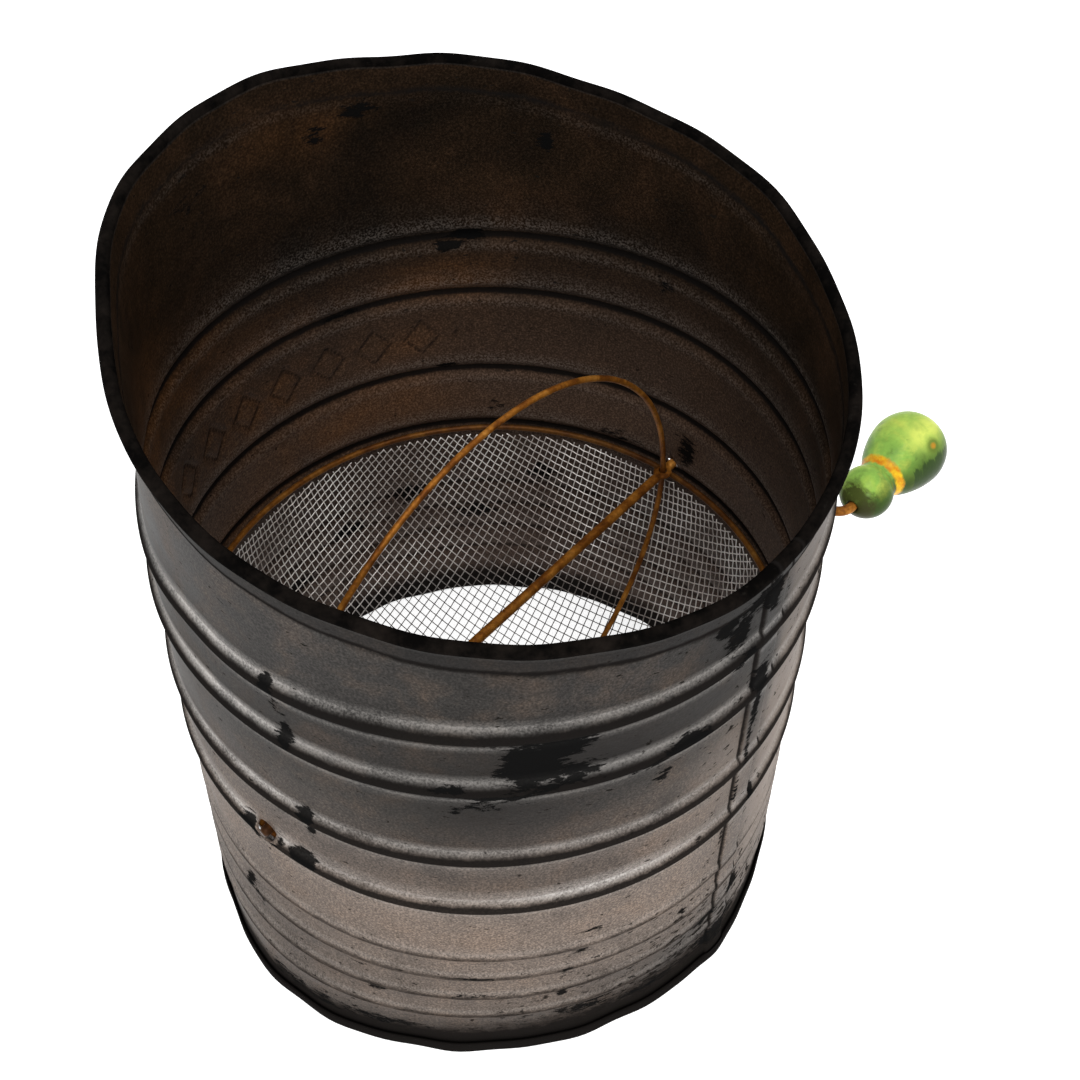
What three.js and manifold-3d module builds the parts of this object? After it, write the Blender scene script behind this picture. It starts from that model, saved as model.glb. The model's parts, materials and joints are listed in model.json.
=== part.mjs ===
// Hand-crank flour sifter: a tinplate can with a slanted, scoop-like mouth, a woven screen bowl held in one
// of its beads by a wire ring, and a bent-wire crank whose shaft carries a wire hoop that sweeps the screen.
// Millimetres, +Z up. The shaft lies along +X, towards the knob. The mouth is high at +Y and low at -Y.

import * as THREE from 'three';
import { mergeVertices } from 'three/addons/utils/BufferGeometryUtils.js';
import Module from 'manifold-3d';

const solids = await Module();
solids.setup();

// Space left between pieces that touch
const GAP = 0.3;

// Can
const CAN_RADIUS = 63.5;
const SHEET = 0.45;
const CAN_SIDES = 48;
const MOUTH_HEIGHT = 149.2;
const MOUTH_RISE = 12.8;
const HEM_HEIGHT = 4.0;
const HEM_PROUD = 0.9;
const BEAD_HEIGHTS = [60.5, 77.8, 100.3, 115.5];
const BEAD_HALF_WIDTH = 2.0;
const BEAD_PROUD = 1.2;
const FINE_BEAD_HEIGHTS = [16.5, 24.5, 32.7, 40.7];
const FINE_BEAD_HALF_WIDTH = 1.5;
const FINE_BEAD_PROUD = 0.6;
const SEAM_WIDTH = 5.5;
const SEAM_PROUD = 0.6;
const ENTRY_HOLE_RADIUS = 2.4;
const BEARING_HOLE_RADIUS = 1.5;

// Wired edge of the mouth: the sheet turns outwards over a thin wire and comes down the wall as a flat skirt
const ROLL_RADIUS = 1.2;
const ROLL_STEP = Math.PI / 4;
const ROLL_END = -Math.PI / 4;
const SKIRT_HEIGHT = 6.8;
const SKIRT_START = 1.6;
const RIM_WIRE = 0.38;

// Screen and its ring
const SCREEN_THICKNESS = 0.6;
const SCREEN_RADIUS = 61.2;
const SCREEN_DEPTH = 59.2;
const SCREEN_SIDES = 40;
const SCREEN_ROWS = 10;
const RING_RADIUS = 62.2;
const RING_WIRE = 0.7;
const RING_HEIGHT = 60.0;

// Crank, shaft and hoop
const SHAFT_HEIGHT = 62.5;
const SHAFT_WIRE = 1.1;
const SHAFT_TIP = 64.6;
const ARM_PLANE = 67.2;
const CRANK_THROW = 43.5;
const CRANK_REST_ANGLE = THREE.MathUtils.degToRad(13);
const BEND_RADIUS = 3.0;
const HOOP_HALF_WIDTH = 59.6;
const HOOP_HALF_DEPTH = 57.6;
const HOOP_WIRE = 0.65;
const EYE_RADIUS = 2.1;
const EYE_HALF_THICKNESS = 0.65;

// Knob and the washer that holds it
const KNOB_START = 70.3;
const KNOB_LENGTH = 30.2;
const BALL_RADIUS = 5.9;
const NECK_RADIUS = 4.7;
const NECK_PLACE = 11.0;
const GRIP_RADIUS = 8.65;
const GRIP_PLACE = 22.3;
const GRIP_END_RADIUS = 2.4;
const WASHER_RADIUS = 3.0;
const WASHER_THICKNESS = 0.6;
const HEAD_RADIUS = 1.9;
const HEAD_LENGTH = 1.0;

const canInside = CAN_RADIUS - SHEET;
const pinBore = SHAFT_WIRE + GAP;
const washerStart = KNOB_START + KNOB_LENGTH + GAP;
const headStart = washerStart + WASHER_THICKNESS + GAP;
const pinEnd = headStart + HEAD_LENGTH;

function tin(color, roughness) {
  return new THREE.MeshStandardMaterial({ color, roughness, metalness: 0.9 });
}

function named(name, geometry, material) {
  const mesh = new THREE.Mesh(geometry, material);
  mesh.name = name;
  return mesh;
}

// Booleans: a three.js geometry becomes a solid, and a solid becomes a geometry again.
function toSolid(geometry) {
  const bare = geometry.clone();
  bare.deleteAttribute('normal');
  bare.deleteAttribute('uv');
  const merged = mergeVertices(bare, 1e-4);
  return new solids.Manifold(new solids.Mesh({
    numProp: 3,
    vertProperties: new Float32Array(merged.attributes.position.array),
    triVerts: new Uint32Array(merged.index.array),
  }));
}

function toGeometry(solid) {
  const mesh = solid.getMesh();
  const geometry = new THREE.BufferGeometry();
  geometry.setAttribute('position', new THREE.BufferAttribute(mesh.vertProperties, 3));
  geometry.setIndex(new THREE.BufferAttribute(mesh.triVerts, 1));
  geometry.computeVertexNormals();
  return geometry;
}

// Points of an arc in the (radius, height) plane, from one angle to another.
function arc(centreRadius, centreHeight, radius, from, to, pieces) {
  return Array.from({ length: pieces + 1 }, (_, i) => {
    const angle = from + (to - from) * i / pieces;
    return new THREE.Vector2(
      centreRadius + radius * Math.cos(angle),
      centreHeight + radius * Math.sin(angle),
    );
  });
}

// A closed outline in the (radius, height) plane, turned about +Z. The outline runs anticlockwise.
function turned(outline, sides) {
  const closed = [...outline, outline[0].clone()];
  return new THREE.LatheGeometry(closed, sides).rotateX(Math.PI / 2);
}

// A wire bent into a ring about +Z.
function wireRing(radius, height, wire, sides) {
  const section = arc(radius, height, wire, 0, 2 * Math.PI, 8).slice(0, -1);
  return turned(section, sides);
}

// The mouth is cut on a slant: what lies above the top bead rises towards +Y.
function slant(geometry) {
  const top = BEAD_HEIGHTS.at(-1) + 2 * BEAD_HALF_WIDTH;
  const position = geometry.attributes.position;
  for (let i = 0; i < position.count; i += 1) {
    if (position.getZ(i) > top) {
      position.setZ(i, position.getZ(i) + MOUTH_RISE * position.getY(i) / CAN_RADIUS);
    }
  }
  return geometry;
}

// One side of a pressed bead, from its lower edge to its upper one, on a wall of the given radius.
function bead(wallRadius, height, halfWidth, proud, pieces) {
  return Array.from({ length: pieces + 1 }, (_, i) => {
    const across = 2 * i / pieces - 1;
    return new THREE.Vector2(wallRadius + proud * (1 - across * across), height + halfWidth * across);
  });
}

function canOutline() {
  const rollRadius = canInside + ROLL_RADIUS;
  const rollHeight = MOUTH_HEIGHT - ROLL_RADIUS;
  const rollBends = Math.round((Math.PI - ROLL_END) / ROLL_STEP);
  const skirtInside = CAN_RADIUS + GAP;
  const skirtFoot = MOUTH_HEIGHT - SKIRT_HEIGHT;
  const hem = CAN_RADIUS + HEM_PROUD;
  return [
    new THREE.Vector2(canInside, 0),
    new THREE.Vector2(hem - GAP, 0),
    new THREE.Vector2(hem, GAP),
    new THREE.Vector2(hem, HEM_HEIGHT - HEM_PROUD),
    new THREE.Vector2(CAN_RADIUS, HEM_HEIGHT),
    ...FINE_BEAD_HEIGHTS.flatMap((z) => bead(CAN_RADIUS, z, FINE_BEAD_HALF_WIDTH, FINE_BEAD_PROUD, 2)),
    ...BEAD_HEIGHTS.flatMap((z) => bead(CAN_RADIUS, z, BEAD_HALF_WIDTH, BEAD_PROUD, 4)),
    ...arc(rollRadius, rollHeight, ROLL_RADIUS - SHEET, Math.PI, ROLL_END, rollBends),
    new THREE.Vector2(skirtInside, rollHeight - SKIRT_START + SHEET),
    new THREE.Vector2(skirtInside, skirtFoot),
    new THREE.Vector2(skirtInside + SHEET, skirtFoot),
    new THREE.Vector2(skirtInside + SHEET, rollHeight - SKIRT_START),
    ...arc(rollRadius, rollHeight, ROLL_RADIUS, ROLL_END, Math.PI, rollBends),
    ...BEAD_HEIGHTS.toReversed().flatMap((z) => bead(canInside, z, -BEAD_HALF_WIDTH, BEAD_PROUD, 4)),
  ];
}

// The folded lock seam, a strip that stands proud of the low side from the hem to the skirt of the mouth.
function seamStrip() {
  const half = SEAM_WIDTH / 2 / CAN_RADIUS;
  const strip = new THREE.Shape();
  strip.absarc(0, 0, CAN_RADIUS + SEAM_PROUD, -Math.PI / 2 - half, -Math.PI / 2 + half, false);
  strip.absarc(0, 0, CAN_RADIUS - SHEET / 2, -Math.PI / 2 + half, -Math.PI / 2 - half, true);
  const bottom = HEM_HEIGHT / 2;
  const top = MOUTH_HEIGHT - MOUTH_RISE - SKIRT_HEIGHT - 2 * GAP;
  return new THREE.ExtrudeGeometry(strip, { depth: top - bottom, bevelEnabled: false, curveSegments: 2 })
    .translate(0, 0, bottom);
}

function shaftHole(side, radius) {
  const length = 10;
  return new THREE.CylinderGeometry(radius, radius, length, 16)
    .rotateZ(Math.PI / 2)
    .translate(side * CAN_RADIUS, 0, SHAFT_HEIGHT);
}

// The hole away from the crank is wide enough for the shaft's flattened eyes, which go in through it.
function bodyShell() {
  const can = toSolid(slant(turned(canOutline(), CAN_SIDES)))
    .add(toSolid(seamStrip()))
    .subtract(toSolid(shaftHole(-1, ENTRY_HOLE_RADIUS)))
    .subtract(toSolid(shaftHole(1, BEARING_HOLE_RADIUS)));
  return named('body_shell', toGeometry(can), tin(0x8a7f78, 0.5));
}

function rimWire() {
  const ring = slant(wireRing(canInside + ROLL_RADIUS, MOUTH_HEIGHT - ROLL_RADIUS, RIM_WIRE, CAN_SIDES));
  return named('rim_wire', ring, tin(0x4a3a30, 0.7));
}

// Half of the screen's section: the bowl from its lowest point up, then the flange under the ring.
function screenBowl() {
  const flangeTop = RING_HEIGHT - RING_WIRE - GAP;
  const flangeRadius = canInside - GAP;
  const row = (radius, depth, i, height) => {
    const reach = Math.sqrt(1 - ((SHAFT_HEIGHT - height) / depth) ** 2);
    const angle = Math.asin(reach) * i / SCREEN_ROWS;
    return new THREE.Vector2(radius * Math.sin(angle), SHAFT_HEIGHT - depth * Math.cos(angle));
  };
  const rows = Array.from({ length: SCREEN_ROWS + 1 }, (_, i) => i);
  const outerRadius = SCREEN_RADIUS + SCREEN_THICKNESS;
  const outerDepth = SCREEN_DEPTH + SCREEN_THICKNESS;
  const outline = [
    ...rows.map((i) => row(outerRadius, outerDepth, i, flangeTop - SCREEN_THICKNESS)),
    new THREE.Vector2(flangeRadius, flangeTop - SCREEN_THICKNESS),
    new THREE.Vector2(flangeRadius, flangeTop),
    ...rows.toReversed().map((i) => row(SCREEN_RADIUS, SCREEN_DEPTH, i, flangeTop)),
  ];
  const bowl = new THREE.LatheGeometry(outline, SCREEN_SIDES).rotateX(Math.PI / 2);
  return named('screen_bowl', bowl, tin(0xa8a29c, 0.4));
}

function screenRing() {
  const ring = wireRing(RING_RADIUS, RING_HEIGHT, RING_WIRE, CAN_SIDES);
  return named('screen_ring', ring, tin(0x7a4a22, 0.7));
}

// A wire that is straight between its corners, which follow each bend closely.
class BentWire extends THREE.Curve {
  constructor(corners) {
    super();
    this.corners = corners;
  }

  getPoint(t) {
    const place = t * (this.corners.length - 1);
    const i = Math.min(Math.floor(place), this.corners.length - 2);
    return this.corners[i].clone().lerp(this.corners[i + 1], place - i);
  }

  getPointAt(t) {
    return this.getPoint(t);
  }

  getTangentAt(t) {
    return this.getTangent(t);
  }
}

// A quarter bend that starts at a point, leaves it along one direction and ends along the other.
function quarterBend(start, along, towards) {
  const pieces = 5;
  return Array.from({ length: pieces + 1 }, (_, i) => {
    const angle = Math.PI / 2 * i / pieces;
    return start.clone()
      .addScaledVector(along, BEND_RADIUS * Math.sin(angle))
      .addScaledVector(towards, BEND_RADIUS * (1 - Math.cos(angle)));
  });
}

function crankCorners() {
  const outward = new THREE.Vector3(1, 0, 0);
  const arm = new THREE.Vector3(0, -Math.cos(CRANK_REST_ANGLE), Math.sin(CRANK_REST_ANGLE));
  const shaftTip = new THREE.Vector3(-SHAFT_TIP, 0, 0);
  const shaftBend = new THREE.Vector3(ARM_PLANE - BEND_RADIUS, 0, 0);
  const armEnd = new THREE.Vector3(ARM_PLANE, 0, 0).addScaledVector(arm, CRANK_THROW - BEND_RADIUS);
  const pinTip = new THREE.Vector3(pinEnd, 0, 0).addScaledVector(arm, CRANK_THROW);
  return [
    shaftTip,
    ...quarterBend(shaftBend, outward, arm),
    ...quarterBend(armEnd, arm, outward),
    pinTip,
  ];
}

function pinPlace(x) {
  return [x, -CRANK_THROW * Math.cos(CRANK_REST_ANGLE), CRANK_THROW * Math.sin(CRANK_REST_ANGLE)];
}

// At each end of the hoop the shaft is hammered flat and pierced, and the hoop passes through the eye.
function withEye(rod, x) {
  const cutThickness = 2;
  let eyed = rod;
  for (const side of [-1, 1]) {
    const cut = new THREE.BoxGeometry(2 * EYE_RADIUS, 2 * SHAFT_WIRE + GAP, cutThickness)
      .translate(x, 0, side * (EYE_HALF_THICKNESS + cutThickness / 2));
    eyed = eyed.subtract(toSolid(cut));
  }
  const upright = Math.PI / 2;
  const plate = new THREE.CylinderGeometry(EYE_RADIUS, EYE_RADIUS, 2 * EYE_HALF_THICKNESS, 20)
    .rotateX(upright).translate(x, 0, 0);
  const hole = new THREE.CylinderGeometry(HOOP_WIRE + GAP, HOOP_WIRE + GAP, 4 * EYE_RADIUS, 14)
    .rotateX(upright).translate(x, 0, 0);
  return eyed.add(toSolid(plate)).subtract(toSolid(hole));
}

function crankRod() {
  const corners = crankCorners();
  const section = new THREE.Shape().absarc(0, 0, SHAFT_WIRE, 0, 2 * Math.PI);
  const path = new BentWire(corners);
  const wire = new THREE.ExtrudeGeometry(section, {
    steps: corners.length - 1, extrudePath: path, curveSegments: 10,
  });
  const head = new THREE.CylinderGeometry(HEAD_RADIUS * 0.7, HEAD_RADIUS, HEAD_LENGTH, 16)
    .rotateZ(-Math.PI / 2)
    .translate(...pinPlace(headStart + HEAD_LENGTH / 2));
  let rod = toSolid(wire).add(toSolid(head));
  for (const side of [-1, 1]) {
    rod = withEye(rod, side * HOOP_HALF_WIDTH);
  }
  return named('crank_rod', toGeometry(rod), tin(0x8a5226, 0.65));
}

function agitatorHoop() {
  const hoop = wireRing(HOOP_HALF_WIDTH, 0, HOOP_WIRE, 52)
    .rotateX(Math.PI / 2)
    .scale(1, 1, HOOP_HALF_DEPTH / HOOP_HALF_WIDTH);
  return named('agitator_hoop', hoop, tin(0x8f5a2a, 0.65));
}

// The full-bodied grip, from the neck to its blunt end.
function gripOutline() {
  const swell = GRIP_RADIUS - NECK_RADIUS;
  const rise = GRIP_PLACE - NECK_PLACE;
  const fall = KNOB_LENGTH - GRIP_PLACE;
  return new THREE.SplineCurve([
    new THREE.Vector2(NECK_RADIUS, NECK_PLACE),
    new THREE.Vector2(NECK_RADIUS + 0.55 * swell, NECK_PLACE + 0.35 * rise),
    new THREE.Vector2(NECK_RADIUS + 0.9 * swell, NECK_PLACE + 0.7 * rise),
    new THREE.Vector2(GRIP_RADIUS, GRIP_PLACE),
    new THREE.Vector2(0.86 * GRIP_RADIUS, GRIP_PLACE + 0.57 * fall),
    new THREE.Vector2(0.58 * GRIP_RADIUS, GRIP_PLACE + 0.88 * fall),
    new THREE.Vector2(GRIP_END_RADIUS, KNOB_LENGTH),
  ]).getPoints(12);
}

// Ball, neck and grip, turned about the pin and bored for it.
function knob() {
  const ballStart = Math.asin(pinBore / BALL_RADIUS) - Math.PI / 2;
  const ballCentre = -BALL_RADIUS * Math.sin(ballStart);
  const outline = [
    ...arc(0, ballCentre, BALL_RADIUS, ballStart, Math.PI / 5, 7),
    ...gripOutline(),
    new THREE.Vector2(pinBore, KNOB_LENGTH),
  ];
  const turnedKnob = new THREE.LatheGeometry([...outline, outline[0].clone()], 24).rotateZ(-Math.PI / 2);
  const paint = new THREE.MeshStandardMaterial({ color: 0x7fb83a, roughness: 0.35 });
  const mesh = named('knob', turnedKnob, paint);
  mesh.position.set(...pinPlace(KNOB_START));
  return mesh;
}

function knobWasher() {
  const outline = [
    new THREE.Vector2(pinBore, 0),
    new THREE.Vector2(WASHER_RADIUS, 0),
    new THREE.Vector2(WASHER_RADIUS, WASHER_THICKNESS),
    new THREE.Vector2(pinBore, WASHER_THICKNESS),
  ];
  const washer = turned(outline, 24).rotateY(Math.PI / 2);
  const mesh = named('knob_washer', washer, tin(0x6b5646, 0.6));
  mesh.position.set(...pinPlace(washerStart));
  return mesh;
}

const crank = new THREE.Group();
crank.position.z = SHAFT_HEIGHT;
crank.add(crankRod(), agitatorHoop(), knob(), knobWasher());

const can = new THREE.Group();
can.add(bodyShell(), rimWire(), screenBowl(), screenRing());

// The origin is at the centre of the space that the sifter takes up, on the surface it stands on.
const assembly = new THREE.Group();
assembly.position.x = (canInside + 2 * ROLL_RADIUS - pinEnd) / 2;
assembly.add(can, crank);

const sifter = new THREE.Group();
sifter.add(assembly);
sifter.updateMatrixWorld(true);

export default sifter;
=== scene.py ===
"""Looks for a hand-crank flour sifter: aged tinplate can, woven screen, rusty crank and hoop, painted knob.

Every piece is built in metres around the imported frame. Angles are in degrees about the can's axis,
anticlockwise from above, with 0 towards the crank, 90 towards the tall side of the mouth and -90 at the
lock seam.
"""

import json
import math

import bmesh
import bpy
import numpy as np
from mathutils import Matrix, Vector


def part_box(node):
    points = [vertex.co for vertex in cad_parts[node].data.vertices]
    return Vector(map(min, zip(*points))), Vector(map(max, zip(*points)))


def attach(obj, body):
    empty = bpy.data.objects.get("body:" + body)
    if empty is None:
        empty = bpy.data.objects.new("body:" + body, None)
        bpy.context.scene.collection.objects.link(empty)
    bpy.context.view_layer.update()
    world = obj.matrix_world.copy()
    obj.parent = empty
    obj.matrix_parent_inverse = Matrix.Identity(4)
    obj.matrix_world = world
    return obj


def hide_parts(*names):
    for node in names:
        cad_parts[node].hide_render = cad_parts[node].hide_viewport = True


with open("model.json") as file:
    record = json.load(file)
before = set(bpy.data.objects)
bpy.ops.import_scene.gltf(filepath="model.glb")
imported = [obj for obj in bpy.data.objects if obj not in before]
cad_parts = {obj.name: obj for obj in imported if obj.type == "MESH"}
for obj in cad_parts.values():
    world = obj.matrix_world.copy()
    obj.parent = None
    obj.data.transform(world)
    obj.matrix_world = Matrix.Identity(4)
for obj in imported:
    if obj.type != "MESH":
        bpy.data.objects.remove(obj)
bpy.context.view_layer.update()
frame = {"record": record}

MM = 0.001
record = frame["record"]

# Places that the frame gives.
ring_low, ring_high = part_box("screen_ring")
shell_low, shell_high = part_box("body_shell")
wire_low, wire_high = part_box("rim_wire")
AXIS_X = (ring_low.x + ring_high.x) / 2
RING_HEIGHT = (ring_low.z + ring_high.z) / 2
RING_WIRE = (ring_high.z - ring_low.z) / 2
RING_RADIUS = (ring_high.x - ring_low.x) / 2 - RING_WIRE
joints = {joint["name"]: joint for joint in record["behaviour"]["joints"]}
SHAFT = Vector(joints["crank_turn"]["pos_m"])
PIN = Vector(joints["knob_spin"]["pos_m"])

# Sizes of the can, as the frame's can has them.
ROLL_RADIUS = 1.2 * MM
SKIRT_HEIGHT = 6.8 * MM
SHEET = 0.42 * MM
ROLL_CENTRE = (shell_high.x - shell_low.x) / 2 - ROLL_RADIUS
WALL_RADIUS = ROLL_CENTRE - ROLL_RADIUS + SHEET / 2
MOUTH_RISE = 12.8 * MM
MOUTH_HEIGHT = shell_high.z - MOUTH_RISE * (ROLL_CENTRE / (WALL_RADIUS + SHEET / 2))
HEM_HEIGHT = 4.0 * MM
HEM_PROUD = 0.9 * MM
BEADS = [60.5 * MM, 77.8 * MM, 100.3 * MM, 115.5 * MM]
BEAD_HALF_WIDTH = 2.2 * MM
BEAD_PROUD = 1.15 * MM
FINE_BEADS = [16.5 * MM, 24.5 * MM, 32.7 * MM, 40.7 * MM]
FINE_BEAD_HALF_WIDTH = 1.9 * MM
FINE_BEAD_PROUD = 0.55 * MM
SKIRT_GAP = 0.25 * MM
SEAM_HALF_WIDTH = 2.75 * MM
SEAM_PROUD = 0.5 * MM

# Radii of the shaft's two holes: the one its eyes go in through, and the one at the crank.
ENTRY_HOLE = 2.4 * MM
BEARING_HOLE = 1.5 * MM

# A plain pressed row of lozenges, between two angles.
LOZENGES = (46, 119)
LOZENGE_PITCH = 11.0 * MM
LOZENGE_HEIGHT = 88.8 * MM
LOZENGE_HALF_WIDTH = 4.6 * MM
LOZENGE_HALF_HEIGHT = 5.6 * MM


# ---------------------------------------- meshes

def piece_from(name, vertices, faces):
    mesh = bpy.data.meshes.new(name)
    mesh.from_pydata([tuple(v) for v in vertices], [], faces)
    mesh.polygons.foreach_set("use_smooth", [True] * len(mesh.polygons))
    mesh.update()
    piece = bpy.data.objects.new(name, mesh)
    bpy.context.scene.collection.objects.link(piece)
    return piece


def grid_faces(rows, columns, close_rows=True, start=0):
    """Faces of a grid of points. Each row is a closed loop, and the last row may join the first."""
    faces = []
    for i in range(rows if close_rows else rows - 1):
        below, above = start + i * columns, start + ((i + 1) % rows) * columns
        for j in range(columns):
            k = (j + 1) % columns
            faces.append((below + j, below + k, above + k, above + j))
    return faces


def paint(piece, name, values):
    """A number for each vertex, which the materials read by its name."""
    layer = piece.data.attributes.new(name, "FLOAT", "POINT")
    layer.data.foreach_set("value", np.asarray(values, np.float32).ravel())


def vertex_places(piece):
    return np.array([list(v.co) for v in piece.data.vertices])


def around(angle):
    return np.cos(np.radians(angle)), np.sin(np.radians(angle))


def angle_between(a, b):
    """Signed difference of two angles in degrees, from -180 to 180."""
    return (a - b + 180) % 360 - 180


def bump_at(x, centre, width):
    return np.exp(-(((x - centre) / width) ** 2))


def smooth_step(x, low, high):
    t = np.clip((x - low) / (high - low), 0, 1)
    return t * t * (3 - 2 * t)


# ---------------------------------------- the can

def bead_shape(z, height, half_width, proud):
    """A pressed bead, a little broader above than below."""
    across = (z - height) / half_width
    across = np.where(across > 0, across / 1.2, across / 1.1)
    return proud * np.clip(1 - across ** 2, 0, None) ** 1.4


# Rows across one bead, as shares of its half width.
BEAD_ROWS = (-1.7, -1.4, -1.1, -0.75, -0.5, -0.25, 0, 0.3, 0.6, 0.9, 1.2, 1.5)
FINE_BEAD_ROWS = (-1.15, -0.75, -0.38, 0, 0.38, 0.75, 1.15)

# Rows of the plain bands, in millimetres. They are close together behind the lozenges and the mouth's skirt.
FOOT_ROWS = (4.4, 6.5, 9, 12)
BAND_ROWS = (45.5, 49.5, 53.5, 67, 71, 82.3, 96.5, 105, 108, 111)
LOZENGE_ROWS = np.arange(83.2, 95.0, 0.62)
MOUTH_ROWS = (121, 125, 129, 133, 136, 138, 139.5, 140.7, 141.6, 142.5, 143.6, 145, 146.5, 147.6)


def wall_rows():
    """Heights along the wall, close together on the beads and further apart on the plain bands."""
    heights = [row * MM for row in (*FOOT_ROWS, *BAND_ROWS, *LOZENGE_ROWS, *MOUTH_ROWS)]
    heights += [bead + s * FINE_BEAD_HALF_WIDTH for bead in FINE_BEADS for s in FINE_BEAD_ROWS]
    heights += [bead + s * BEAD_HALF_WIDTH for bead in BEADS for s in BEAD_ROWS]
    return sorted(heights)


def sheet_path():
    """The middle of the sheet: round the hem, up the wall, over the mouth's wire and down the outer skirt.

    Each point is (radius, height, share of the mouth's slant, part), with part 0 for the wall, 2 for the
    rolled edge, 1.4 where it turns down and 1 for the skirt."""
    fold = HEM_PROUD / 2
    outside = WALL_RADIUS + HEM_PROUD
    path = [(outside, HEM_HEIGHT * s, 0, 0) for s in (0.97, 0.7, 0.4)]
    for i in range(7):
        a = math.pi * i / 6
        path.append((WALL_RADIUS + fold + fold * math.cos(a), SHEET / 2 + fold - fold * math.sin(a), 0, 0))
    top_bead = BEADS[-1] + 1.2 * BEAD_HALF_WIDTH
    roll_height = MOUTH_HEIGHT - ROLL_RADIUS
    for z in wall_rows():
        path.append((WALL_RADIUS, z, max(0, (z - top_bead) / (roll_height - top_bead)), 0))
    roll = ROLL_RADIUS - SHEET / 2
    for i in range(10):
        a = math.radians(180 - 225 * i / 9)
        path.append((ROLL_CENTRE + roll * math.cos(a), roll_height + roll * math.sin(a), 1, 2))
    skirt = WALL_RADIUS + SHEET + SKIRT_GAP
    path.append(((ROLL_CENTRE + roll * 0.7 + skirt) / 2 - 0.1 * MM, roll_height - 1.35 * MM, 1, 1.4))
    for down in (1.95, 2.8, 3.8, 4.8, 5.3, 5.6):
        path.append((skirt, roll_height - down * MM, 1, 1))
    return np.array(path)


def columns_round():
    """Angles round the can, closer together at the seam and at the lozenges."""
    plain = np.linspace(-180, 180, 225, endpoint=False)
    at_seam = np.linspace(-94.5, -85.5, 31)
    at_lozenges = np.arange(LOZENGES[0] - 1, LOZENGES[1] + 1, 0.7)
    close = np.concatenate([at_seam, at_lozenges])
    keep = [a for a in plain if np.min(np.abs(close - a)) > 0.6]
    return np.sort(np.concatenate([keep, close]))


# Each is (angle, height in mm, degrees wide, mm tall, mm outwards).
DENTS = [
    (140, 150, 21, 34, -3.4), (170, 118, 9, 12, -0.6), (-150, 120, 14, 9, -0.5),
    (-15, 150, 13, 15, 2.0), (60, 158, 10, 10, -0.5), (-60, 90, 8, 9, -0.4), (-120, 70, 9, 7, -0.35),
    (-48, 75, 22, 36, -0.8), (182, 6, 26, 27, 3.3), (-100, 28, 10, 8, 0.35), (0, 20, 14, 9, -0.4),
    (-90, 1, 4, 6, 1.1),
]


def out_of_round(angle, z):
    """How far the wall stands off a true circle: a little oval, a flattened side and a few dents."""
    height = z / MOUTH_HEIGHT
    off = 0.45 * MM * height * np.cos(np.radians(2 * (angle - 100)))
    off += 0.22 * MM * height * np.cos(np.radians(3 * angle + 40))
    off += 0.10 * MM * np.sin(np.radians(7 * angle) + 2.5 * height)
    battered = np.sin(np.radians(17 * angle + 40)) + 0.6 * np.sin(np.radians(29 * angle))
    off += 0.20 * MM * battered * bump_at(z, 0, 6 * MM)
    for a, h, wide, tall, deep in DENTS:
        off += deep * MM * bump_at(angle_between(angle, a), 0, wide) * bump_at(z, h * MM, tall * MM)
    return off


def lozenge_lines(angle, z):
    """1 on the outline of each lozenge of a plain pressed row, between the second and third bead."""
    across = np.radians(angle) * WALL_RADIUS
    cell = ((across / LOZENGE_PITCH) % 1 - 0.5) * LOZENGE_PITCH
    reach = np.abs(cell) / LOZENGE_HALF_WIDTH + np.abs(z - LOZENGE_HEIGHT) / LOZENGE_HALF_HEIGHT
    first, last = LOZENGES
    band = smooth_step(angle, first, first + 2) * (1 - smooth_step(angle, last - 2, last))
    return band * bump_at(reach, 0.84, 0.15)


def mouth_offset(angle):
    """How far the mouth's edge stands above its mean height: the slant, and a slightly ragged cut."""
    ragged = 0.35 * MM * np.sin(np.radians(5 * angle + 30)) + 0.3 * MM * np.sin(np.radians(9 * angle + 80))
    ragged += 0.15 * MM * np.sin(np.radians(23 * angle + 50))
    return MOUTH_RISE * around(angle)[1] + ragged


def below_mouth(angle, z, lift):
    """Distance straight down from the mouth's edge."""
    return MOUTH_HEIGHT - z + (1 - lift) * mouth_offset(angle)


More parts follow.
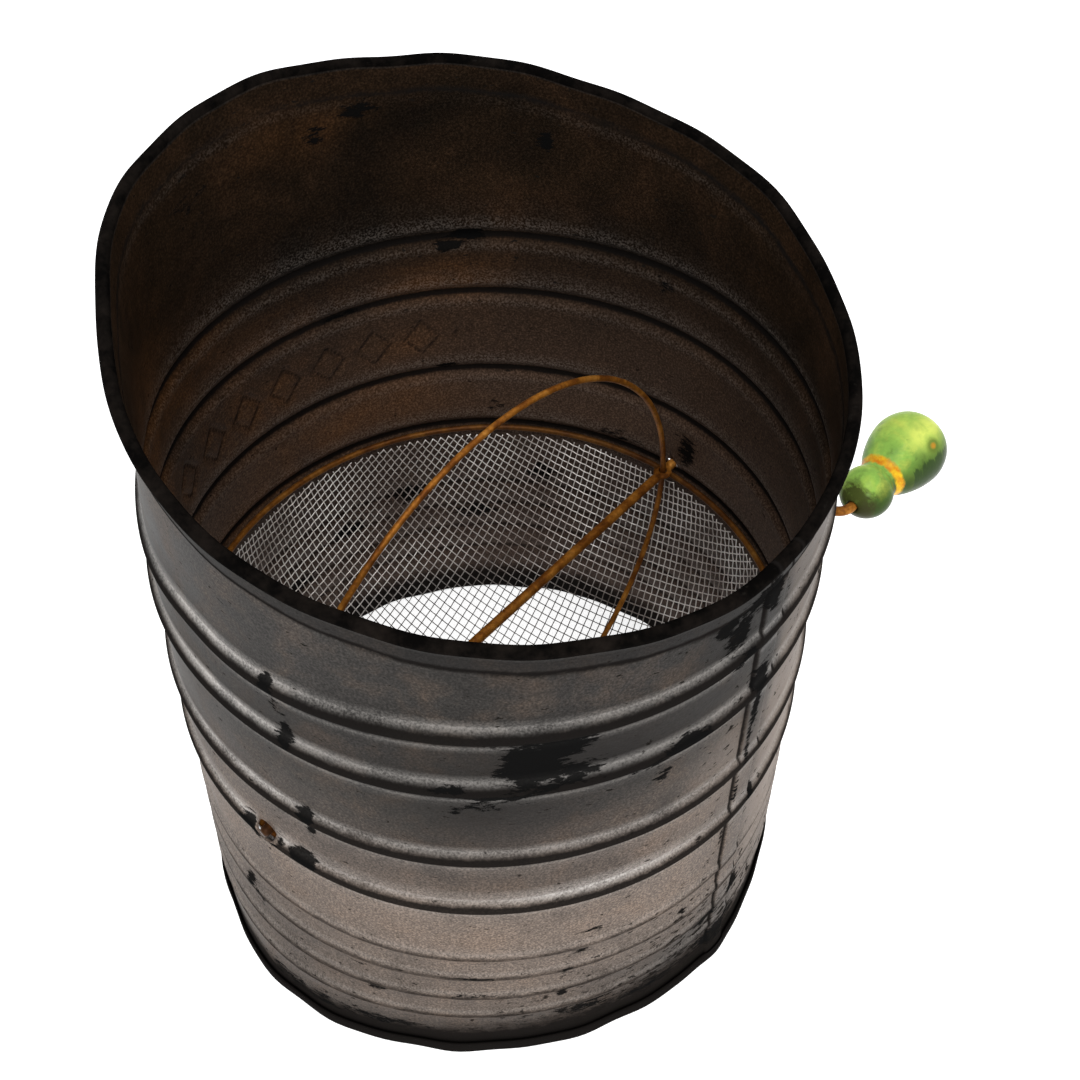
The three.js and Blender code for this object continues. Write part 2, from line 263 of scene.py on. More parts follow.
def can_surface():
    """Both faces of the can's sheet as one grid, with what the marks on it need to know of each point."""
    path, angles = sheet_path(), columns_round()
    slope = np.gradient(path[:, :2], axis=0)
    slope /= np.linalg.norm(slope, axis=1)[:, None]
    normal = np.stack([slope[:, 1], -slope[:, 0]], 1)
    side_of = np.concatenate([np.ones(len(path)), -np.ones(len(path))])
    path = np.concatenate([path, path[::-1]])
    normal = np.concatenate([normal, normal[::-1]])
    angle, side = np.meshgrid(angles, side_of)
    radius, z, lift, part = (column[:, None] + 0 * angle for column in path.T)
    thick_r, thick_z = (column[:, None] + 0 * angle for column in normal.T)
    pressed = sum(bead_shape(z, h, BEAD_HALF_WIDTH, BEAD_PROUD) for h in BEADS)
    pressed += sum(bead_shape(z, h, FINE_BEAD_HALF_WIDTH, FINE_BEAD_PROUD) for h in FINE_BEADS)
    pressed += 0.45 * MM * lozenge_lines(angle, z)
    from_seam = np.abs(np.radians(angle_between(angle, -90))) * WALL_RADIUS
    on_wall = smooth_step(z, 3 * MM, 4.4 * MM) * (part == 0)
    edge = 0.25 * MM
    seam = (1 - smooth_step(from_seam, SEAM_HALF_WIDTH - edge, SEAM_HALF_WIDTH + edge)) * on_wall
    down = below_mouth(angle, z, lift)
    below_skirt = smooth_step(down, SKIRT_HEIGHT + 0.3 * MM, SKIRT_HEIGHT + 1.3 * MM)
    seam_out = np.where(side > 0, SEAM_PROUD * below_skirt, -0.15 * MM) * seam
    pressed = np.where(on_wall > 0, pressed * (1 - 0.55 * seam), 0)
    radius = radius + pressed + seam_out + side * thick_r * SHEET / 2
    height = z + side * thick_z * SHEET / 2 + lift * mouth_offset(angle)
    radius = radius + out_of_round(angle, height)
    cos, sin = around(angle)
    points = np.stack([AXIS_X + radius * cos, radius * sin, height], -1)
    # The sheet turns over at the mouth, so beyond it the can's inner face looks out.
    looks_out = np.where(part < 1, side, -side)
    return points, angle, z, lift, looks_out, part, from_seam


def spots(angle, z, places):
    """The strongest of several soft spots.

    Each place is (angle, height in mm, degrees wide, mm tall, strength)."""
    strongest = np.zeros_like(angle)
    for a, h, wide, tall, strength in places:
        spot = strength * bump_at(angle_between(angle, a), 0, wide) * bump_at(z, h * MM, tall * MM)
        strongest = np.maximum(strongest, spot)
    return strongest


CRUSTS_OUTSIDE = [
    # The large black smear between the two top beads, and its tail
    (-131.5, 107, 5.2, 6.8, 1.7), (-127, 111.5, 6.5, 2.6, 1.25), (-125, 103.5, 5, 3, 1.05),
    (-136, 98.5, 9, 1.6, 1.2), (-144, 101.5, 3.5, 1.2, 0.95), (-139, 95.5, 6, 1.8, 0.9),
    (-143.5, 93.5, 1.2, 1.0, 1.3), (-106, 100.5, 4, 2.6, 1.4), (-112, 98.5, 3.5, 2.0, 1.15),
    (-110, 93, 1.6, 2.5, 1.0),
    # A drip down the far side, the soot round the shaft's hole and the blotch beside it
    (-172.5, 117, 0.9, 3.5, 1.6), (-171.3, 111, 0.8, 5, 1.5), (-170.3, 103, 1.5, 4.5, 1.5),
    (-169.6, 92, 0.7, 5, 1.3), (-169.3, 79.5, 1.5, 2.6, 1.7), (-169, 74, 0.8, 3, 1.2),
    (-183, 60, 3.8, 3.6, 2.0), (-180, 62.5, 3.2, 3.6, 1.8), (-171.5, 62, 2.8, 2.4, 2.0),
    (-188, 34, 2, 2.5, 1.2), (-185.5, 31, 1.5, 3, 1.2),
    # Under the mouth and along the seam
    (-101, 127, 2.2, 3.2, 1.4), (-98, 122, 3, 4.5, 1.3), (-95, 128, 4, 3, 1.3), (-91, 127, 2.6, 5, 1.4),
    (-96, 114.5, 2.4, 3, 1.3), (-91, 103.5, 2.2, 4, 1.5), (-90.5, 95, 1.2, 9, 1.2),
    (-91, 84, 1.0, 8, 1.0), (-87, 61.5, 1.2, 4, 1.3), (-92, 68, 0.8, 5, 1.0), (-93.5, 54, 0.9, 5, 0.9),
    # Near the foot
    (-86.5, 25.5, 2.2, 5, 1.3), (-94.5, 22, 4, 3, 1.3), (-101.5, 36, 1.4, 2, 1.2),
    (-120.5, 44.5, 3.5, 1.4, 1.15), (-122.5, 38, 4, 1.4, 1.0), (-125, 31, 1.2, 4, 1.2),
    (-125.5, 22.5, 1.2, 3, 1.1), (-130, 21, 6, 1.5, 1.05), (-121, 13, 8, 2.4, 1.05),
    (-140.5, 32.5, 6, 1.0, 0.9), (-159.5, 23, 2.4, 1.0, 1.2), (-141, 25, 5, 0.9, 0.8),
    (-90, 11, 8, 4, 1.2), (-106, 10, 10, 2.4, 1.0), (-160, 9, 12, 2.0, 0.95), (-176, 8, 10, 2.4, 1.0),
    # The sides that face away
    (-66, 104, 2, 12, 0.7), (-58, 30, 6, 4, 0.78), (-40, 40, 4, 6, 0.7), (-30, 105, 3, 6, 0.62),
    (20, 90, 4, 7, 0.62), (70, 55, 7, 5, 0.62), (110, 104, 6, 5, 0.7), (140, 60, 5, 4, 0.62),
    (95, 20, 9, 4, 0.7),
]
CRUSTS_INSIDE = [
    (45, 116, 3.6, 2.0, 1.4), (49, 113.5, 3.0, 1.4, 1.2), (50, 79.5, 2.6, 1.4, 1.1),
    (64, 150, 4.2, 1.8, 1.2), (30, 140, 1.6, 2.6, 1.3), (72, 147, 2.4, 1.8, 1.1),
    (20, 96, 2.0, 1.6, 0.9), (100, 146, 7, 2.4, 0.62), (5, 112, 3, 3.0, 0.62), (40, 66, 2, 2.4, 0.8),
    (-3.5, 69, 2.6, 5, 1.25), (70, 100.3, 6, 1.4, 0.7), (12, 64, 6, 3, 0.7), (60, 40, 5, 3, 1.1),
    (75, 34, 5, 3, 1.2), (45, 30, 6, 3, 1.1), (90, 26, 7, 3, 1.1), (30, 45, 5, 4, 1.0),
]
# Soft dark patches on the outside: soot round the big smear and along the seam, and painted shade over the
# side that faces the camera.
SOOT_AND_SHADE_OUTSIDE = [
    (-124, 106, 27, 11, 1.05), (-98, 123, 10, 12, 1.1), (-90, 95, 3.5, 26, 0.5), (-140, 90, 20, 8, 0.45),
    (-102, 108, 12, 5, 0.9), (160, 100, 25, 45, 0.45), (-175, 103, 20, 10, 0.6),
    (-130, 131, 30, 5, 0.35), (-100, 18, 22, 12, 0.7), (-150, 7, 60, 8, 0.75), (-25, 70, 25, 60, 0.4),
    (80, 100, 40, 60, 0.4), (-138, 97, 20, 20, 0.9), (180, 26, 22, 22, 0.45), (-88, 60, 10, 40, 0.35),
    (-140, 70, 22, 6, 0.4), (-90.5, 100, 2.8, 28, 0.9),
]
RUST_INSIDE = [
    (100, 88, 24, 9, 1.0), (70, 70, 22, 8, 0.8), (112, 110, 14, 10, 0.8), (124, 96, 12, 30, 0.7),
    (86, 104, 14, 5, 0.6), (50, 105, 12, 5, 0.6), (75, 148, 12, 5, 0.25), (95, 62, 18, 4, 0.9),
    (58, 88, 10, 5, 0.4),
]


def shade_in_creases(angle, z, lift, side, part, from_seam):
    """Painted shade as dark lines in the creases: on the beads, beside the seam, over the hem and along the
    skirt; and a darkening towards the foot.
    """
    crease_shade = np.zeros_like(z)
    for h in BEADS:
        below = bump_at(z, h - 0.4 * MM, 1.9 * MM) * 1.45
        groove = bump_at(z, h + 0.2 * MM, 1.0 * MM) * 1.2
        crease_shade = np.maximum(crease_shade, np.where(side > 0, below, groove))
    for h in FINE_BEADS:
        below = bump_at(z, h - 0.4 * MM, 1.5 * MM) * 0.68
        crease_shade = np.maximum(crease_shade, np.where(side > 0, below, bump_at(z, h, 1.0 * MM) * 0.7))
    beside_seam = bump_at(from_seam, SEAM_HALF_WIDTH + 0.3 * MM, 0.5 * MM) * (side > 0) * 0.95
    crease_shade = np.maximum(crease_shade, beside_seam)
    crease_shade = np.maximum(crease_shade, bump_at(z, HEM_HEIGHT + 1.2 * MM, 2.6 * MM) * (side > 0) * 1.2)
    # The wall darkens towards the foot, up to this height, which is greatest round -104 degrees.
    foot_dark_height = 16 * MM + 9 * MM * bump_at(angle_between(angle, -104), 0, 28)
    crease_shade = np.maximum(crease_shade, (1 - smooth_step(z, 3.0 * MM, foot_dark_height)) * 0.95)
    down = below_mouth(angle, z, lift)
    under_skirt = bump_at(down, SKIRT_HEIGHT + 0.5 * MM, 1.1 * MM) * (side > 0) * (part == 0) * 1.1
    skirt_foot = smooth_step(down, SKIRT_HEIGHT - 1.4 * MM, SKIRT_HEIGHT) * (part == 1) * 0.9
    inner_crease = bump_at(down, SKIRT_HEIGHT, 1.1 * MM) * (side < 0) * (part == 0) * 0.8
    crease_shade = np.maximum(crease_shade, np.maximum(under_skirt, np.maximum(skirt_foot, inner_crease)))
    return np.maximum(crease_shade, np.where(side < 0, lozenge_lines(angle, z) * 0.72, 0))


def shine_and_wear_lines(angle, z, lift, side):
    """Bright lines of bare tin and painted highlight, along the shoulder of each bead and inside the mouth.
    """
    bright = np.zeros_like(z)
    for h in BEADS:
        # How strong the bare tin and painted highlight are at each angle round the can.
        wear_and_highlight = 0.40 + 0.60 * bump_at(angle_between(angle, -184), 0, 15)
        wear_and_highlight += (h == BEADS[0]) * 0.75 * bump_at(angle_between(angle, -120), 0, 13)
        shoulder = wear_and_highlight * bump_at(z, h + 2.6 * MM, 0.8 * MM) + 0.22 * bump_at(z, h - 3.2 * MM, 0.5 * MM)
        inner = bump_at(z, h + BEAD_HALF_WIDTH * 1.5, 1.6 * MM)
        inner += 0.6 * bump_at(z, h - BEAD_HALF_WIDTH * 1.2, 0.9 * MM)
        bright = np.maximum(bright, np.where(side > 0, shoulder, inner))
    for h in FINE_BEADS:
        bright = np.maximum(bright, np.where(side > 0, 0.20 * bump_at(z, h + 1.4 * MM, 0.8 * MM), 0))
    # Bare tin and painted highlight along the crease inside the mouth.
    shine_and_wear = 0.25 + 0.2 * np.sin(np.radians(4 * angle + 60))
    shine_and_wear = shine_and_wear * bump_at(below_mouth(angle, z, lift), SKIRT_HEIGHT + 1.9 * MM, 0.9 * MM)
    return np.maximum(bright, np.where(side < 0, shine_and_wear, 0))


def paleness(angle, z, side):
    """The strip beyond the seam is lighter than the rest, most of all at half height."""
    beyond = smooth_step(angle, -87, -83) * (1 - smooth_step(angle, -35, -5))
    beyond = beyond * (0.40 + 0.60 * bump_at(z, 68 * MM, 34 * MM))
    before = 0.5 * bump_at(angle, -94, 9) * bump_at(z, 80 * MM, 17 * MM)
    return np.maximum(beyond, before) * (side > 0)


def flecks(angle, z, side):
    """How thickly small black flecks lie: mostly near the foot and round the seam, and a few inside."""
    near_foot = 1 - smooth_step(z, 6 * MM, 46 * MM)
    near_seam = bump_at(angle_between(angle, -92), 0, 30)
    outside = 0.30 + 0.30 * near_foot + 0.55 * near_seam * (0.4 + near_foot)
    return np.where(side > 0, outside, 0.3)


def drill(piece, centre, radius, depth, rotation=(0, 0, 0), sides=48):
    """Cut a round hole through a piece."""
    bpy.ops.mesh.primitive_cylinder_add(
        vertices=sides, radius=radius, depth=depth, location=centre, rotation=rotation)
    cutter = bpy.context.object
    cut = piece.modifiers.new("hole", "BOOLEAN")
    cut.operation, cut.solver, cut.object = "DIFFERENCE", "EXACT", cutter
    bpy.context.view_layer.objects.active = piece
    bpy.ops.object.modifier_apply(modifier=cut.name)
    bpy.data.objects.remove(cutter)


def cut_bearing_holes(can):
    for x_side, radius in ((-1, ENTRY_HOLE), (1, BEARING_HOLE)):
        centre = (AXIS_X + x_side * WALL_RADIUS, 0, SHAFT.z)
        drill(can, centre, radius, 12 * MM, rotation=(0, math.pi / 2, 0))


def make_can():
    points, angle, z, lift, side, part, from_seam = can_surface()
    rows, columns = angle.shape
    can = piece_from("tin_can", points.reshape(-1, 3), grid_faces(rows, columns))
    height = z + lift * mouth_offset(angle)
    outer, inner = side > 0, side < 0
    crusts = np.where(outer, spots(angle, height, CRUSTS_OUTSIDE), spots(angle, height, CRUSTS_INSIDE))
    paint(can, "stain", crusts)
    paint(can, "soot_and_shade", spots(angle, height, SOOT_AND_SHADE_OUTSIDE) * outer)
    paint(can, "rust", spots(angle, height, RUST_INSIDE) * inner)
    # Painted shade in the creases, and a darkening towards the foot.
    paint(can, "crease_shade", shade_in_creases(angle, z, lift, side, part, from_seam))
    paint(can, "highlight_and_wear", shine_and_wear_lines(angle, z, lift, side))
    paint(can, "pale", paleness(angle, z, side))
    paint(can, "fleck", flecks(angle, z, side))
    paint(can, "inside", inner)
    paint(can, "rolled", np.where(part == 2, 1.0, np.where(part > 1, 0.8, 0.0)))
    paint(can, "skirt", (part == 1) * 1.0)
    paint(can, "hem", 1 - smooth_step(z, 3.5 * MM, 7 * MM))
    cut_bearing_holes(can)
    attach(can, "can")
    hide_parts("body_shell")
    return can


# ---------------------------------------- the woven screen

SCREEN_RADIUS = 61.5 * MM
SCREEN_DEPTH = 59.5 * MM
MESH_PITCH = 1.95 * MM
# The radius of a wire, its sides, and the degrees that the mesh is turned by.
MESH_WIRE = 0.125 * MM
MESH_SIDES = 6
MESH_TURN = 9
# Along the mesh, from the bowl's bottom, this much is one radian of the bowl.
DOME = 60.5 * MM


def on_bowl(u, v):
    """A point of the flat mesh pressed into the bowl, and the bowl's outward normal there."""
    reach = np.hypot(u, v)
    angle = reach / DOME
    turn = np.arctan2(v, u) + math.radians(MESH_TURN)
    sag = 1 + 0.006 * np.sin(3 * turn + 1) * np.sin(angle) ** 2 + 0.004 * np.sin(5 * turn)
    radius = SCREEN_RADIUS * np.sin(angle)
    height = SHAFT.z - SCREEN_DEPTH * np.cos(angle) * np.clip(sag, 1, 1.01)
    point = np.stack([AXIS_X + radius * np.cos(turn), radius * np.sin(turn), height], -1)
    normal = np.stack([np.sin(angle) * np.cos(turn), np.sin(angle) * np.sin(turn), -np.cos(angle)], -1)
    return point, normal


def make_mesh_wires(name, along_u):
    """All the wires that run one way. Each passes over one crossing wire and under the next."""
    edge = DOME * math.radians(86.6)
    count = int(edge / MESH_PITCH)
    vertices, faces = [], []
    ring = np.linspace(0, 2 * math.pi, MESH_SIDES, endpoint=False)
    for i in range(-count, count + 1):
        across = i * MESH_PITCH
        half = math.sqrt(edge * edge - across * across)
        steps = int(half / (MESH_PITCH / 2))
        if steps < 2:
            continue
        place = np.arange(-steps, steps + 1)
        along = place * MESH_PITCH / 2
        u, v = (along, np.full_like(along, across)) if along_u else (np.full_like(along, across), along)
        point, normal = on_bowl(u, v)
        weave = np.cos(np.pi * (place / 2 + i)) * (1 if along_u else -1)
        point = point + normal * (weave * MESH_WIRE * 1.02)[:, None]
        tangent = np.gradient(point, axis=0)
        tangent /= np.linalg.norm(tangent, axis=1)[:, None]
        side = np.cross(tangent, normal)
        side /= np.linalg.norm(side, axis=1)[:, None]
        up = np.cross(side, tangent)
        section = point[:, None] + MESH_WIRE * (
            np.cos(ring)[None, :, None] * up[:, None] + np.sin(ring)[None, :, None] * side[:, None])
        start = len(vertices)
        vertices.extend(section.reshape(-1, 3))
        rows = len(point)
        faces += grid_faces(rows, MESH_SIDES, close_rows=False, start=start)
        faces.append(tuple(start + j for j in reversed(range(MESH_SIDES))))
        faces.append(tuple(start + (rows - 1) * MESH_SIDES + j for j in range(MESH_SIDES)))
    wires = piece_from(name, vertices, faces)
    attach(wires, "can")
    return wires


# ---------------------------------------- wires, crank, hoop

def swept(name, centres, radii, wide, thin, sides):
    """A closed wire along its centres, with its radius and its shares of width and thickness at each."""
    tangent = np.gradient(centres, axis=0)
    tangent /= np.linalg.norm(tangent, axis=1)[:, None]
    up = np.zeros_like(centres)
    first = np.array([0.0, 0.0, 1.0])
    for i, t in enumerate(tangent):
        first = first - t * (first @ t)
        first /= np.linalg.norm(first)
        up[i] = first
    side = np.cross(tangent, up)
    ring = np.linspace(0, 2 * math.pi, sides, endpoint=False)
    section = centres[:, None] + (radii * thin)[:, None, None] * np.cos(ring)[None, :, None] * up[:, None]
    section = section + (radii * wide)[:, None, None] * np.sin(ring)[None, :, None] * side[:, None]
    rows = len(centres)
    faces = grid_faces(rows, sides, close_rows=False)
    faces.append(tuple(reversed(range(sides))))
    faces.append(tuple((rows - 1) * sides + j for j in range(sides)))
    return piece_from(name, section.reshape(-1, 3), faces)


def fix_normals(piece):
    mesh = bmesh.new()
    mesh.from_mesh(piece.data)
    bmesh.ops.recalc_face_normals(mesh, faces=mesh.faces)
    mesh.to_mesh(piece.data)
    mesh.free()


def make_screen_ring():
    """The ring that holds the screen's edge, a little out of round."""
    turns, sides = 280, 14
    angle = np.linspace(0, 2 * math.pi, turns, endpoint=False)
    section = np.linspace(0, 2 * math.pi, sides, endpoint=False)
    radius = RING_RADIUS + 0.12 * MM * np.sin(3 * angle + 0.5)
    out = radius[:, None] + RING_WIRE * np.cos(section)
    up = RING_HEIGHT + 0 * out + RING_WIRE * np.sin(section)
    points = np.stack([AXIS_X + out * np.cos(angle)[:, None], out * np.sin(angle)[:, None], up], -1)
    ring = piece_from("screen_ring_wire", points.reshape(-1, 3), grid_faces(turns, sides))
    fix_normals(ring)
    place = vertex_places(ring)
    angle = np.degrees(np.arctan2(place[:, 1], place[:, 0] - AXIS_X))
    # Darker all round, and more so towards the crank: that side is painted shade.
    paint(ring, "grime_and_shade", 0.30 + 0.45 * bump_at(angle_between(angle, 20), 0, 55))
    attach(ring, "can")
    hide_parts("screen_ring")
    return ring


def make_rim_wire():
    """The wire that the mouth's edge is rolled round. It follows the roll, so it is slanted and uneven."""
    turns, sides = 240, 10
    angle, section = np.meshgrid(
        np.linspace(-180, 180, turns, endpoint=False),
        np.linspace(0, 2 * math.pi, sides, endpoint=False), indexing="ij")
    wire = (wire_high.x - wire_low.x) / 2 - ROLL_CENTRE
    middle = MOUTH_HEIGHT - ROLL_RADIUS + mouth_offset(angle)
    radius = ROLL_CENTRE + out_of_round(angle, middle) + wire * np.cos(section)
    cos, sin = around(angle)
    points = np.stack([AXIS_X + radius * cos, radius * sin, middle + wire * np.sin(section)], -1)
    rim = piece_from("mouth_wire", points.reshape(-1, 3), grid_faces(turns, sides))
    fix_normals(rim)
    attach(rim, "can")
    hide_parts("rim_wire")
    return rim


rod_low, rod_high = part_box("crank_rod")
hoop_low, hoop_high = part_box("agitator_hoop")
# Radii of the wires and of the crank's two bends.
SHAFT_WIRE = 1.1 * MM
HOOP_WIRE = 0.65 * MM
BEND = 3.0 * MM
HOOP_HALF_WIDTH = (hoop_high.x - hoop_low.x) / 2 - HOOP_WIRE
HOOP_HALF_DEPTH = (hoop_high.z - hoop_low.z) / 2 - HOOP_WIRE
ARM_PLANE = AXIS_X + 67.2 * MM
EYE_RADIUS = 2.1 * MM


def quarter_bend(start, along, towards):
    """Centres round a quarter turn of the wire."""
    turns = [math.radians(9 * i) for i in range(1, 11)]
    return [start + along * (BEND * math.sin(a)) + towards * (BEND * (1 - math.cos(a))) for a in turns]


def straight(start, end, step):
    count = max(2, int((end - start).length / step))
    return [start.lerp(end, i / count) for i in range(count + 1)]


def make_crank():
    """The crank wire: the shaft with its two flattened and pierced eyes, the arm and the knob's pin."""
    outward = Vector((1, 0, 0))
    reach = PIN - SHAFT
    reach.x = 0
    arm = reach.normalized()
    tip = Vector((rod_low.x, 0, SHAFT.z))
    bend = Vector((ARM_PLANE - BEND, 0, SHAFT.z))
    arm_start = Vector((ARM_PLANE, 0, SHAFT.z)) + arm * BEND
    arm_end = Vector((ARM_PLANE, 0, SHAFT.z)) + arm * (reach.length - BEND)
    pin_start = Vector((ARM_PLANE + BEND, PIN.y, PIN.z))
    pin_end = Vector((rod_high.x - 0.4 * MM, PIN.y, PIN.z))
    path = straight(tip, bend, 0.55 * MM)
    path += quarter_bend(bend, outward, arm)
    path += straight(arm_start, arm_end, 1.5 * MM)[1:]
    path += quarter_bend(arm_end, arm, outward)
    path += straight(pin_start, pin_end, 1.5 * MM)[1:]
    centres = np.array([list(p) for p in path])
    on_shaft = (np.abs(centres[:, 1]) < 0.1 * MM) & (np.abs(centres[:, 2] - SHAFT.z) < 0.1 * MM)
    wide, thin = np.ones(len(centres)), np.ones(len(centres))
    for x_side in (-1, 1):
        off = np.abs(centres[:, 0] - (AXIS_X + x_side * HOOP_HALF_WIDTH)) / EYE_RADIUS
        disc = np.sqrt(np.clip(1 - off ** 2, 0, 1)) * EYE_RADIUS / SHAFT_WIRE
        wide = np.where(on_shaft & (off < 1.0), np.maximum(disc, 1.0), wide)
        thin = np.where(on_shaft, thin - 0.4 * (1 - smooth_step(off, 0.75, 1.5)), thin)
    from_tip = np.abs(centres[:, 0] - rod_low.x)
    radius = SHAFT_WIRE * np.where(on_shaft, np.clip(0.72 + from_tip / (1.6 * MM), 0, 1), 1)
    rod = swept("crank_wire", centres, radius, wide, thin, sides=20)
    for x_side in (-1, 1):
        eye = Vector((AXIS_X + x_side * HOOP_HALF_WIDTH, 0, SHAFT.z))
        drill(rod, eye, HOOP_WIRE + 0.28 * MM, 8 * MM, sides=32)
    fix_normals(rod)
    from_tip = vertex_places(rod)[:, 0] - rod_low.x
    # The shaft's tip, where it sits in the hole, is painted dark.
    paint(rod, "grime_and_shade", 0.9 * (1 - smooth_step(from_tip, 1.0 * MM, 3.5 * MM)))
    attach(rod, "crank")
    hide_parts("crank_rod")
    head = make_pin_head()
    return rod, head


def turned_piece(name, outline, place, sides=64):
    """A closed outline of (radius, distance along +X) turned about the knob's pin."""
    outline = np.asarray(outline, float)
    angle = np.linspace(0, 2 * math.pi, sides, endpoint=False)
    x = place.x + outline[:, 1][:, None] + 0 * angle
    y = place.y + outline[:, 0][:, None] * np.cos(angle)
    z = place.z + outline[:, 0][:, None] * np.sin(angle)
    points = np.stack([x, y, z], -1)
    piece = piece_from(name, points.reshape(-1, 3), grid_faces(len(outline), sides))
    fix_normals(piece)
    return piece


def make_pin_head():
    """The end of the pin, hammered over the washer."""
    length, wide = 1.0 * MM, 1.9 * MM
    start = Vector((rod_high.x - length, PIN.y, PIN.z))
    outline = [(0.02 * MM, 0), (wide * 0.85, 0), (wide, 0.18 * MM)]
    for i in range(1, 9):
        a = math.pi / 2 * i / 8
        outline.append((max(wide * math.cos(a), 0.02 * MM), 0.18 * MM + (length - 0.18 * MM) * math.sin(a)))
    head = turned_piece("pin_head", outline, start, sides=40)
    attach(head, "crank")
    return head


def make_hoop():
    """The wire hoop, bent by hand: one loop that passes through both eyes of the shaft."""
    turns, sides = 260, 14
    angle = np.linspace(0, 2 * math.pi, turns, endpoint=False)
    loose = 0.35 * MM * np.sin(2 * angle) * np.sin(angle) ** 2
    bulge = 1 - 0.006 * np.sin(angle * 2 + 0.6) ** 2
    centre = np.stack([
        SHAFT.x + HOOP_HALF_WIDTH * np.cos(angle) * np.where(np.abs(np.sin(angle)) < 0.05, 1, bulge),
        loose,
        SHAFT.z + HOOP_HALF_DEPTH * np.sin(angle) * bulge,
    ], -1)
    out = np.stack([np.cos(angle), 0 * angle, np.sin(angle)], -1)
    aside = np.array([0.0, 1.0, 0.0])
    section = np.linspace(0, 2 * math.pi, sides, endpoint=False)
    points = centre[:, None] + HOOP_WIRE * (
        np.cos(section)[None, :, None] * out[:, None] + np.sin(section)[None, :, None] * aside)
    hoop = piece_from("hoop_wire", points.reshape(-1, 3), grid_faces(turns, sides))
    fix_normals(hoop)
    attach(hoop, "crank")
    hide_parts("agitator_hoop")
    return hoop


# ---------------------------------------- the knob

KNOB_LENGTH = 30.2 * MM
KNOB_BORE = 1.4 * MM
knob_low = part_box("knob")[0]


def knob_outline():
    """Bore, ball, neck and full-bodied grip as one closed outline of (radius, distance along the pin)."""
    ball = 5.9
    start = math.asin(KNOB_BORE / MM / ball)
    points = []
    for i in range(27):
        a = start + (math.radians(127) - start) * i / 26
        points.append((ball * math.sin(a), ball * math.cos(start) - ball * math.cos(a)))
    body = [
        (4.58, 9.5), (4.55, 10.2), (4.85, 11.1), (5.6, 12.5), (6.6, 14.3), (7.6, 16.8), (8.3, 19.4),
        (8.65, 22.1), (8.4, 24.4), (7.6, 26.6), (6.3, 28.3), (4.6, 29.5), (3.0, 30.0), (2.2, 30.2),
    ]
    points += smooth_through(body, 4)
    points.append((KNOB_BORE / MM, KNOB_LENGTH / MM))
    return np.array(points) * MM


def smooth_through(points, pieces):
    """A Catmull-Rom curve through the points."""
    p = np.array([points[0], *points, points[-1]], float)
    made = []
    for i in range(1, len(p) - 2):
        for k in range(pieces):
            t = k / pieces
            a, b, c, d = p[i - 1], p[i], p[i + 1], p[i + 2]
            made.append(tuple(0.5 * (2 * b + (c - a) * t + (2 * a - 5 * b + 4 * c - d) * t * t
                                     + (3 * b - a - 3 * c + d) * t ** 3)))
    return made + [tuple(p[-1])]


def make_knob():
    start = Vector((knob_low.x, PIN.y, PIN.z))
    knob = turned_piece("wooden_knob", knob_outline(), start, sides=96)
    along, aside, over = (vertex_places(knob) - start).T
    along = along / MM
    radius = np.hypot(aside, over)
    low = (-0.92 * aside - 0.39 * over) / radius
    top = (-0.39 * aside + 0.92 * over) / radius
    paint(knob, "neck", bump_at(along, 11.3, 1.25))
    # More dark chips at the ball's end by the washer, where they also stand in for painted shade, and a few
    # at the grip's tip.
    paint(knob, "ends", np.clip(bump_at(along, 0.2, 2.8) + 0.5 * bump_at(along, 30.0, 0.7), 0, 1))
    # Painted shade on the knob's lower side.
    paint(knob, "under", smooth_step(low, 0.0, 0.92))
    on_grip = smooth_step(along, 13, 16) * (1 - smooth_step(along, 25, 28))
    paint(knob, "scuffed", smooth_step(low, 0.40, 0.75) * on_grip)
    paint(knob, "pit", bump_at(along, 21.4, 1.7) * bump_at(low, 0.36, 0.17) * (top > 0))
    # A painted highlight along the top of the grip.
    paint(knob, "top_highlight", bump_at(low, -0.05, 0.42) * smooth_step(along, 14.5, 21) * (top > 0))
    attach(knob, "knob")
    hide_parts("knob")
    return knob


def make_washer():
    low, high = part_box("knob_washer")
    radius, thick, edge = (high.z - low.z) / 2, high.x - low.x, 0.12 * MM
    outline = [
        (KNOB_BORE, 0), (radius - edge, 0), (radius, edge),
        (radius, thick - edge), (radius - edge, thick), (KNOB_BORE, thick),
    ]
    washer = turned_piece("knob_washer_disc", outline, Vector((low.x, PIN.y, PIN.z)))
    washer.data.polygons.foreach_set("use_smooth", [False] * len(washer.data.polygons))
    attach(washer, "crank")
    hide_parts("knob_washer")
    return washer


# ---------------------------------------- materials

def material(name):
    made = bpy.data.materials.new(name)
    made.use_nodes = True
    tree = made.node_tree
    shader = tree.nodes["Principled BSDF"]
    return made, tree, shader


def node(tree, kind, inputs=None, **settings):
    """A node with its settings and inputs. An input is a value, or a socket to link from."""
    made = tree.nodes.new(kind)
    for name, value in settings.items():
        setattr(made, name, value)
    for key, value in (inputs or {}).items():
        if isinstance(value, bpy.types.NodeSocket):
            tree.links.new(value, made.inputs[key])
        else:
            made.inputs[key].default_value = value
    return made


def place_of(tree, stretch=(1, 1, 1)):
    coordinates = node(tree, "ShaderNodeTexCoord")
    mapped = node(tree, "ShaderNodeMapping", {"Vector": coordinates.outputs["Object"], "Scale": stretch})
    return mapped.outputs["Vector"]


def noise(tree, where, scale, detail=6, roughness=0.6, distortion=0.0):
    made = node(tree, "ShaderNodeTexNoise", {
        "Vector": where, "Scale": scale, "Detail": detail, "Roughness": roughness, "Distortion": distortion})
    return made.outputs["Fac"]


